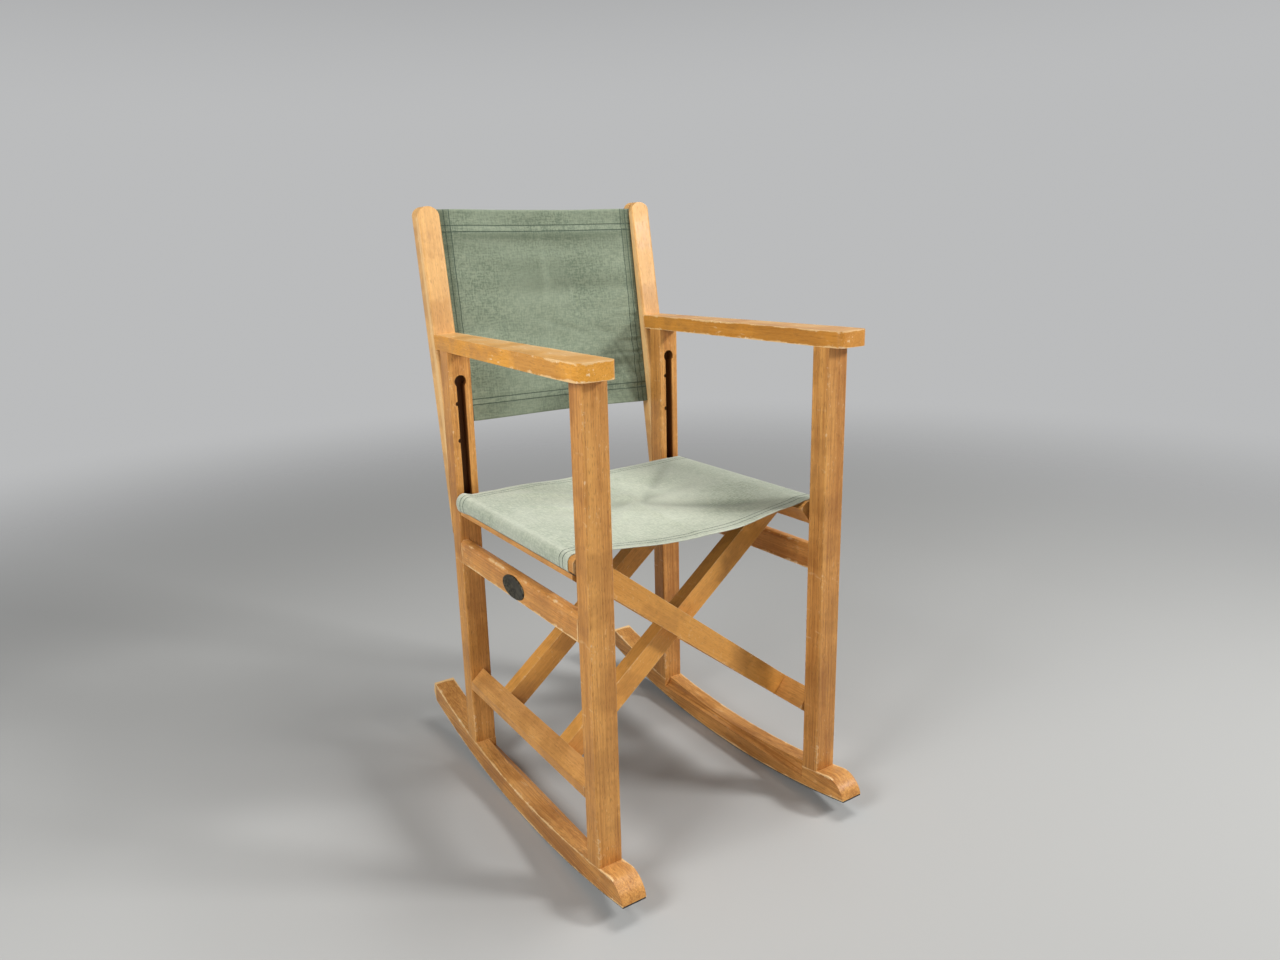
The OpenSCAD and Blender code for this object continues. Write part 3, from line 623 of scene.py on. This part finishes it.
# %% Sheet and stitch helpers
def sheet_of(name, strips, along, place, rows, finish, shade):
    """A sheet of cloth in strips (from, to, columns); place(u, v) is the point u m across and v m along."""
    bm = bmesh.new()
    uv_layer = bm.loops.layers.uv.new("UVMap")
    # The first layer holds the painted shade, the second how rubbed the cloth is.
    shade_layer, pale = bm.verts.layers.float.new("painted_shade"), bm.verts.layers.float.new("rub")
    flat = {}
    for low, high, columns in strips:
        grid = bmesh.ops.create_grid(bm, x_segments=columns, y_segments=rows, size=0.5)
        for vert in grid["verts"]:
            u = low + (vert.co.x + 0.5) * (high - low)
            flat[vert] = (u, along[0] + (vert.co.y + 0.5) * (along[1] - along[0]))
    for face in bm.faces:
        for loop in face.loops:
            loop[uv_layer].uv = flat[loop.vert]
    for vert, (u, v) in flat.items():
        vert.co = place(u, v)
        vert[shade_layer], vert[pale] = shade(u, v)
    bm.normal_update()
    made = new_piece(name, bm, finish)
    thick = made.modifiers.new("thickness", "SOLIDIFY")
    thick.thickness = CLOTH_T
    thick.offset = 0
    return made


STITCH_STEP, STITCH_LONG, STITCH_WIDE, STITCH_THICK = 0.0042, 0.003, 0.0007, 0.00056
NEARBY = 0.001


def stitches(name, lines, place, finish):
    """Thread along lines of (u, v) ends, on the outer face of a sheet."""
    bm = bmesh.new()
    count = 0
    for (u0, v0), (u1, v1) in lines:
        run = math.hypot(u1 - u0, v1 - v0)
        for i in range(int(run / STITCH_STEP)):
            t = (i + 0.5) * STITCH_STEP / run
            u, v = u0 + (u1 - u0) * t, v0 + (v1 - v0) * t
            du, dv = (u1 - u0) / run * NEARBY, (v1 - v0) / run * NEARBY
            here = place(u, v)
            ahead = (place(u + du, v + dv) - here).normalized()
            aside = (place(u - dv, v + du) - here).normalized()
            normal = ahead.cross(aside).normalized()
            aside = normal.cross(ahead)
            centre = here + normal * (CLOTH_T / 2 + 0.00008)
            spot = Matrix(((ahead.x, aside.x, normal.x, centre.x), (ahead.y, aside.y, normal.y, centre.y),
                           (ahead.z, aside.z, normal.z, centre.z), (0, 0, 0, 1)))
            size = Matrix.Diagonal((STITCH_LONG / 2, STITCH_WIDE / 2, STITCH_THICK / 2, 1))
            bmesh.ops.create_icosphere(bm, subdivisions=1, radius=1.0, matrix=spot @ size)
            count += 1
    bmesh.ops.recalc_face_normals(bm, faces=bm.faces)
    print(name, "has", count, "stitches")
    return new_piece(name, bm, finish)


def soft_step(value, low, high):
    """0 below low, 1 above high, and smooth between them."""
    t = min(1.0, max(0.0, (value - low) / (high - low)))
    return t * t * (3 - 2 * t)


def bell(far, spread):
    """1 at nought, falling off on both sides over the spread."""
    return math.exp(-((far / spread) ** 2))


def ripple(*place):
    """Smooth noise from -1 to 1 at a place of three numbers."""
    return noise.noise(Vector(place))


def lengths_along(line):
    """How far along a line each of its points lies."""
    run = [0.0]
    for a, b in zip(line, line[1:]):
        run.append(run[-1] + (b - a).length)
    return run


def on_line(line, run, u):
    """The point u metres along a line, and the line's direction there."""
    u = min(max(u, 0.0), run[-1] - 1e-9)
    low, high = 0, len(run) - 1
    while high - low > 1:
        mid = (low + high) // 2
        low, high = (mid, high) if run[mid] <= u else (low, mid)
    t = (u - run[low]) / (run[high] - run[low])
    return line[low].lerp(line[high], t), (line[high] - line[low]).normalized()


print("sheet helpers are ready")

# %% [markdown]
# ## Seat canvas: the line it follows
# Seen from the front, the seat cloth starts under the left rail, where the batten clamps it, runs up the
# rail's outer face, over its top, sags across the seat and goes down round the right rail. The path is
# worked out for half the seat, rounded at its corners and mirrored.

# %% Seat path
def rail_point(s, v):
    """X and Z of a point s along the outer ladder from the crossing and v square to it."""
    return (s * math.cos(LADDER) + v * math.sin(LADDER),
            CROSS_Z - s * math.sin(LADDER) + v * math.cos(LADDER))


def under_height(off):
    """The height at which a line off the rail's outer face meets a line off its underside."""
    v = -RAIL_H / 2 - off
    x = -(OUTER_X - WRAP + off)
    return rail_point((x - v * math.sin(LADDER)) / math.cos(LADDER), v)[1]


OFF = FIT + CLOTH_T / 2
RAIL_X = OUTER_X - WRAP
TUCK = 0.006
flat_s = -(SEAT_Z - CROSS_Z - RAIL_H / 2 * math.cos(LADDER)) / math.sin(LADDER)
flat_x = rail_point(flat_s, RAIL_H / 2)[0]
half = [rail_point(-(HALF_L - RAIL_W / 2) - TUCK, -RAIL_H / 2 - OFF), (-(RAIL_X + OFF), under_height(OFF))]
for a in range(180, 89, -9):
    half.append((-RAIL_X + RAIL_ROUND + (RAIL_ROUND + OFF) * math.cos(math.radians(a)),
                 SEAT_Z - RAIL_ROUND + (RAIL_ROUND + OFF) * math.sin(math.radians(a))))
half.append((flat_x, SEAT_Z + OFF))
dip = [(-flat_x * t, SEAT_Z + OFF - SEAT_SAG * (1 - t * t)) for t in [-1 + i / 20 for i in range(1, 21)]]
corners = half + dip
seat_line = [Vector(p) for p in corners + [(-x, z) for x, z in reversed(corners[:-1])]]


def round_off(points, cut=0.0016, times=2):
    """Cut each corner a little way along its two sides."""
    for _ in range(times):
        made = [points[0]]
        for before, here, after in zip(points, points[1:], points[2:]):
            a, b = before - here, after - here
            made += [here + a * min(0.25, cut / a.length), here + b * min(0.25, cut / b.length)]
        points = made + [points[-1]]
    return points


seat_line = round_off(seat_line)
seat_run = lengths_along(seat_line)
SEAT_LONG = seat_run[-1]


def on_seat_line(u):
    """The point u metres along the path, and the way out of the cloth there."""
    point, along = on_line(seat_line, seat_run, u)
    return point, Vector((-along.y, along.x))


print("the seat cloth is", round(SEAT_LONG, 3), "m round its path")

# %% [markdown]
# ## Seat canvas: sag, hems and creases
# Sitting has stretched the cloth: it dips between the rails, its hemmed front edge a little more, and
# faint creases run in from the corners and cross in the middle. They are moved in code, because the
# whole cloth is tight and a simulation would only smooth them away.

# %% Seat cloth
# each crease: from (x, y), to (x, y), height, width
SEAT_CREASES = [
    ((-0.17, -0.19), (0.03, -0.02), 0.0016, 0.009), ((-0.17, 0.10), (0.02, -0.03), 0.0018, 0.010),
    ((0.17, 0.10), (0.01, -0.05), -0.0014, 0.012), ((0.16, -0.17), (0.02, -0.06), -0.0014, 0.012),
    ((0.00, -0.21), (0.01, 0.12), 0.0013, 0.008), ((-0.13, -0.04), (0.12, -0.03), -0.0012, 0.014),
    ((-0.16, 0.02), (-0.03, -0.08), 0.0010, 0.006), ((0.03, 0.11), (0.06, -0.02), 0.0010, 0.006)]
SEAT_ROWS = (SEAT_Y[0] + 0.012, SEAT_Y[0] + 0.021, SEAT_Y[1] - 0.021, SEAT_Y[1] - 0.012)
SEAT_HEM = 0.024
HEM_STEP = 0.0004
ON_TOP = SEAT_Z - 0.03
ROLL_X = 0.212


def crease_at(x, y, marks):
    """How high the creases stand at a point of the cloth."""
    lift = 0.0
    for (x0, y0), (x1, y1), height, wide in marks:
        dx, dy = x1 - x0, y1 - y0
        t = min(1.0, max(0.0, ((x - x0) * dx + (y - y0) * dy) / (dx * dx + dy * dy)))
        far = math.hypot(x - x0 - t * dx, y - y0 - t * dy)
        lift += height * bell(far, wide) * (0.4 + 0.6 * math.sin(math.pi * t))
    return lift


def seat_place(u, v):
    """The point of the seat cloth u metres along its path and at the depth v."""
    point, outward = on_seat_line(u)
    free = soft_step(INNER_X + 0.004 - abs(point.x), 0.0, 0.05) if point.y > ON_TOP else 0.0
    edge = min(v - SEAT_Y[0], SEAT_Y[1] - v)
    back = (v - SEAT_Y[0]) / (SEAT_Y[1] - SEAT_Y[0])
    lift = 0.0
    if free > 0:
        dip = max(0.0, 1 - (point.x / flat_x) ** 2)
        lift += dip * (-0.006 + 0.017 * soft_step(back, 0.1, 1.0))
        lift += 1.5 * crease_at(point.x, v, SEAT_CREASES) * free
        lift += ripple(point.x * 16, v * 11, 3.0) * 0.0024 * free
        lift += HEM_STEP * (1 - soft_step(edge, SEAT_HEM - 0.002, SEAT_HEM + 0.001))
    bow = 0.0022 * free * math.sin(point.x * 9 + 0.6) * math.exp(-edge / 0.06) * (1 if v < 0 else -1)
    slid = 0.008 * soft_step(-point.x, -0.10, 0.21)
    round_rail = soft_step(-point.x, 0.196, 0.216) * soft_step(point.y, 0.452, 0.475)
    lift += 0.005 * (bell(SEAT_Y[1] - v, 0.03) * round_rail)
    return Vector((point.x + outward.x * lift, v + bow + slid, point.y + outward.y * lift))


def seat_shade(u, v):
    """How much painted shade the cloth gets and how rubbed it is, each from 0 to 1."""
    point, _ = on_seat_line(u)
    on_top = point.y > ON_TOP
    # Painted shade in the valleys of the creases.
    painted_darkness = min(1.0, max(0.0, -crease_at(point.x, v, SEAT_CREASES) * 500)) if on_top else 0.0
    # Painted shade over the right part of the seat.
    painted_darkness += 0.55 * soft_step(point.x, 0.05, 0.17) * on_top
    edge = min(v - SEAT_Y[0], SEAT_Y[1] - v)
    rubbed = bell(edge, 0.003)
    rubbed += 0.7 * bell(math.hypot(point.x - 0.01, v + 0.05), 0.10)
    rubbed += 0.6 * bell(abs(point.x) - ROLL_X, 0.006) * (point.y > SEAT_Z - 0.02)
    return 0.8 * painted_darkness, min(1.0, rubbed)


# The seat canvas gets paler colours than the back canvas, though both are the same cloth: painted light
# from above.
sage_seat_painted_lit = canvas("sage canvas of the seat", colour(144, 154, 133), colour(180, 187, 165),
                   colour(200, 204, 186), SEAT_ROWS)
seat_sheet = sheet_of("seat_canvas_cloth", [(0.0, SEAT_LONG, 260)], SEAT_Y,
                      seat_place, 120, sage_seat_painted_lit, seat_shade)
seat_lines = [((0.03, y), (SEAT_LONG - 0.03, y)) for y in SEAT_ROWS]
seat_thread = stitches("seat_stitching", seat_lines, seat_place, thread_finish)
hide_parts("seat_canvas")
for piece in (seat_sheet, seat_thread):
    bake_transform(piece)
print("seat cloth:", len(seat_sheet.data.polygons), "faces")

# %% [markdown]
# ## Back canvas
# The back is one cloth with a casing sewn down each side. Each casing slides down a keyhole groove in its
# stile and a rod fills it, so the cloth can't pull out. The path goes from the casing's sewn end, round
# the left rod, across the back, round the right rod and into the other casing.

# %% Back path
to_lean = Matrix.Translation((0, REAR_BACK_Y, LEAN_Z)) @ Matrix.Rotation(-LEAN, 4, "X")
BACK_V = [(z - LEAN_Z) / math.cos(LEAN) for z in BACK_Z]
CASING = 0.034
LOOP = ROD_D / 2 + 0.0001 + CLOTH_T / 2
NECK = 0.0085
LAYER = CLOTH_T / 2 + 0.00004
OPEN_ANGLE = 42


def half_back():
    """From the sewn end of the left casing to the middle of the back, in the stile's own frame."""
    points = [(-CHAN_X + CASING, LAYER), (-CHAN_X + NECK, LAYER)]
    for i in range(0, 25):
        a = math.radians(OPEN_ANGLE + i * (360 - 2 * OPEN_ANGLE) / 24)
        points.append((-CHAN_X + LOOP * math.cos(a), LOOP * math.sin(a)))
    points.append((-CHAN_X + NECK, -LAYER))
    return [Vector(p) for p in points]


left_half = half_back()
back_line = left_half + [Vector((x / 12 * INNER_X, -LAYER)) for x in range(-11, 12)]
back_line += [Vector((-p.x, p.y)) for p in reversed(left_half)]
back_run = lengths_along(back_line)
BACK_LONG = back_run[-1]


def on_back_line(u):
    """The point u metres along the back cloth's path."""
    return on_line(back_line, back_run, u)[0]


print("the back cloth is", round(BACK_LONG, 3), "m round its path")

# %% [markdown]
# ## Back canvas: slack, hems and puckers
# The cloth has a little slack, so it bows back a few millimetres. Near the grooves small puckers pull in,
# most of them low on the right where the sitter leans. Hems top and bottom are double, with two rows of
# stitching. The casings are pieces of their own, cut off where they enter the wood.

# %% Back cloth
# each crease: from (x, z), to (x, z), height, width; each painted shade band: height z, width, darkness
BACK_CREASES = [
    ((-0.02, 0.75), (0.07, 0.72), 0.0014, 0.006), ((-0.10, 0.83), (0.10, 0.82), -0.0018, 0.03),
    ((0.0, 0.92), (0.01, 0.60), 0.0010, 0.008), ((-0.12, 0.70), (0.12, 0.69), 0.0016, 0.03),
    ((-0.15, 0.885), (0.15, 0.880), -0.0014, 0.008), ((0.05, 0.80), (0.06, 0.75), 0.0012, 0.004),
    ((0.06, 0.74), (0.16, 0.70), 0.0014, 0.007), ((0.08, 0.66), (0.17, 0.68), -0.0014, 0.007)]
BACK_ROWS = (BACK_V[0] + 0.025, BACK_V[0] + 0.034, BACK_V[1] - 0.035, BACK_V[1] - 0.025)
BACK_SHADE_BANDS = [(0.866, 0.012, 0.55), (0.806, 0.016, 0.4), (0.741, 0.010, 0.35), (0.655, 0.016, 0.3)]
BACK_HEM = 0.036
BACK_BOW = 0.0045


def back_place(u, v):
    """The point of the back cloth u metres along its path and v metres up the lean."""
    point = on_back_line(u)
    x = point.x
    front = point.y < 0.0002 and abs(x) < INNER_X
    free = soft_step(INNER_X - abs(x), 0.0, 0.03) if abs(x) < INNER_X else 0.0
    edge = min(v - BACK_V[0], BACK_V[1] - v)
    z = LEAN_Z + v * math.cos(LEAN)
    push = BACK_BOW * (1 - (x / INNER_X) ** 2) * free
    push += ripple(x * 13, z * 9, 8.0) * 0.0034 * free
    push += ripple(x * 5, z * 34, 2.0) * 0.0030 * free
    push += crease_at(x, z, BACK_CREASES) * free
    inside = INNER_X - abs(x)
    if inside > 0:
        pull = ripple(z * 75, 7.0 if x > 0 else 2.0, 1.0) + 0.5 * ripple(z * 190, 3.0, 9.0)
        low = soft_step(0.80 - z, 0.0, 0.10)
        pucker = pull * (0.0014 + 0.0066 * low * (x > 0)) * math.exp(-inside / (0.014 + 0.018 * low))
        push += pucker * soft_step(inside, 0.0, 0.006)
    if front:
        push -= HEM_STEP * (1 - soft_step(edge, BACK_HEM - 0.002, BACK_HEM + 0.001)) * free
    wave = 0.0015 * math.sin(x * 14 + 1.0) * math.exp(-edge / 0.04) * free
    across = max(-1.0, min(1.0, x / INNER_X))
    high = (v - BACK_V[0]) / (BACK_V[1] - BACK_V[0])
    skew = (0.005 - 0.003 * across) * high - (0.0018 + 0.0052 * across) * (1 - high)
    return to_lean @ Vector((x, CHAN_Y + point.y + push, v + skew + (wave if v < 0 else -wave * 0.5)))


def back_shade(u, v):
    """How much painted shade the cloth gets and how rubbed it is, each from 0 to 1."""
    x = on_back_line(u).x
    z = LEAN_Z + v * math.cos(LEAN)
    edge = min(v - BACK_V[0], BACK_V[1] - v)
    # Painted shade in the valleys of the creases.
    painted_darkness = min(1.0, max(0.0, -crease_at(x, z, BACK_CREASES) * 500))
    # Painted shade in strips along both sides, next to the stiles.
    painted_darkness += 0.9 * soft_step(abs(x), INNER_X - 0.022, INNER_X - 0.012)
    # The hems are darker.
    painted_darkness += 0.35 * (edge < BACK_HEM - 0.010)
    # Painted shade under two rows of stitching.
    painted_darkness += 0.8 * bell(v - BACK_ROWS[2] + 0.006, 0.007) + 0.5 * bell(v - BACK_ROWS[1] - 0.003, 0.003)
    # Painted shade in wavering bands across the back.
    for height, spread, depth in BACK_SHADE_BANDS:
        wander = z - height - 0.008 * ripple(x * 12, height * 40, 5.0)
        painted_darkness += depth * bell(wander, spread) * (0.7 + 0.6 * ripple(x * 9, height * 30, 1.0))
    # Painted shade in the folds low on the right.
    fold_shade = ripple(x * 14, z * 60 + x * 90, 4.0) + 0.2
    painted_darkness += 1.6 * max(0.0, fold_shade) * soft_step(x, 0.05, 0.15) * soft_step(0.74 - z, 0.0, 0.07)
    rubbed = bell(edge, 0.0025) + 0.5 * bell(math.hypot(x + 0.04, z - 0.80), 0.06)
    rubbed += 0.5 * bell(math.hypot(x * 0.7, z - 0.69), 0.05)
    return 0.85 * min(1.3, painted_darkness), min(1.0, rubbed)


def out_of_groove(u):
    """Whether the cloth has left the left groove, on its front layer."""
    point = on_back_line(u)
    return point.y < 0 and point.x > -INNER_X


left_u = next(u for u in (i * BACK_LONG / 4000 for i in range(2000)) if out_of_groove(u))
right_u = BACK_LONG - left_u
BACK_COLUMNS = (left_u + 0.0095, left_u + 0.019, right_u - 0.019, right_u - 0.0095)
# The back canvas keeps darker colours than the seat canvas; the seat's paler colours are painted light from
# above.
sage_back = canvas("sage canvas of the back", colour(100, 113, 94), colour(138, 148, 125),
                   colour(150, 160, 138), BACK_ROWS, BACK_COLUMNS)
hem_u = CASING - (CHAN_X - INNER_X)
strips = [(0.0, hem_u, 12), (left_u, right_u, 190), (BACK_LONG - hem_u, BACK_LONG, 12)]
back_sheet = sheet_of("back_canvas_cloth", strips, BACK_V, back_place, 130, sage_back, back_shade)
back_lines = [((left_u + 0.002, v), (right_u - 0.002, v)) for v in BACK_ROWS]
back_lines += [((u, BACK_V[0] + 0.003), (u, BACK_V[1] - 0.003)) for u in BACK_COLUMNS]
back_thread = stitches("back_stitching", back_lines, back_place, thread_finish)
for piece in (back_sheet, back_thread):
    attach(piece, "left_side")
    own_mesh(piece)
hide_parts("back_canvas")
print("back cloth:", len(back_sheet.data.polygons), "faces")

# %% Casings
for side, low, high in (("left", hem_u, left_u), ("right", right_u, BACK_LONG - hem_u)):
    casing = sheet_of(side + "_back_casing", [(low, high, 66)], BACK_V,
                      back_place, 130, sage_back, back_shade)
    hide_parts("back_canvas")
    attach(casing, side + "_side")
print("each casing is", round((left_u - hem_u) * 1000, 1), "mm round its rod")

# %% [markdown]
# ## Floor and light
# A plain pale floor that fades into the background a few metres away, so no horizon shows. The main
# lamp stands to the right and in front, as the shadows under the armrests tell. A second one lights the
# left faces, and a third one falls on the seat and the armrests from above.

# %% Floor
def pale_floor():
    """A pale ground that fades out between 1.1 and 3.6 metres from the chair."""
    made, tree, shader = finish_of("pale floor")
    place = put(tree, "TexCoord").outputs["Object"]
    shader.inputs["Base Color"].default_value = colour(178, 178, 176)
    shader.inputs["Roughness"].default_value = 0.9
    shader.inputs["Specular IOR Level"].default_value = 0.1
    far = put(tree, "VectorMath", {0: place}, operation="LENGTH").outputs["Value"]
    clear = put(tree, "BsdfTransparent")
    mixed = put(tree, "MixShader", {0: ramp(tree, far, 1.1, 3.6)})
    tree.links.new(shader.outputs[0], mixed.inputs[1])
    tree.links.new(clear.outputs[0], mixed.inputs[2])
    tree.links.new(mixed.outputs[0], tree.nodes["Material Output"].inputs["Surface"])
    return made


bm = bmesh.new()
bmesh.ops.create_grid(bm, x_segments=1, y_segments=1, size=8)
floor = new_piece("floor", bm, pale_floor())
print("floor of", round(floor.dimensions.x, 1), "m")

# %% World and lamps
world = bpy.data.worlds.new("studio")
bpy.context.scene.world = world
world.use_nodes = True
sky = world.node_tree
height = split(sky, put(sky, "TexCoord").outputs["Generated"])[2]
sky.nodes["Background"].inputs["Color"].default_value = colour(228, 229, 230)
WORLD = 0.64
sky.links.new(ramp(sky, height, 0.12, 0.55, WORLD, WORLD * 0.2), sky.nodes["Background"].inputs["Strength"])


def lamp(name, place, aim, size, power):
    """A square lamp at a place, turned to what it lights."""
    made = bpy.data.objects.new(name, bpy.data.lights.new(name, "AREA"))
    made.data.size = size
    made.data.energy = power
    made.location = place
    made.rotation_mode = "QUATERNION"
    made.rotation_quaternion = (Vector(aim) - Vector(place)).to_track_quat("-Z", "Y")
    made.visible_camera = False
    bpy.context.scene.collection.objects.link(made)


lamp("main", (1.8, -1.9, 1.9), (0, 0, 0.5), 0.5, 58)
lamp("left", (-1.9, -0.5, 1.6), (0, 0, 0.4), 0.9, 34)
lamp("above", (0.8, -0.3, 2.9), (0, 0, 0.5), 1.0, 36)
print("three lamps and the world light the chair")
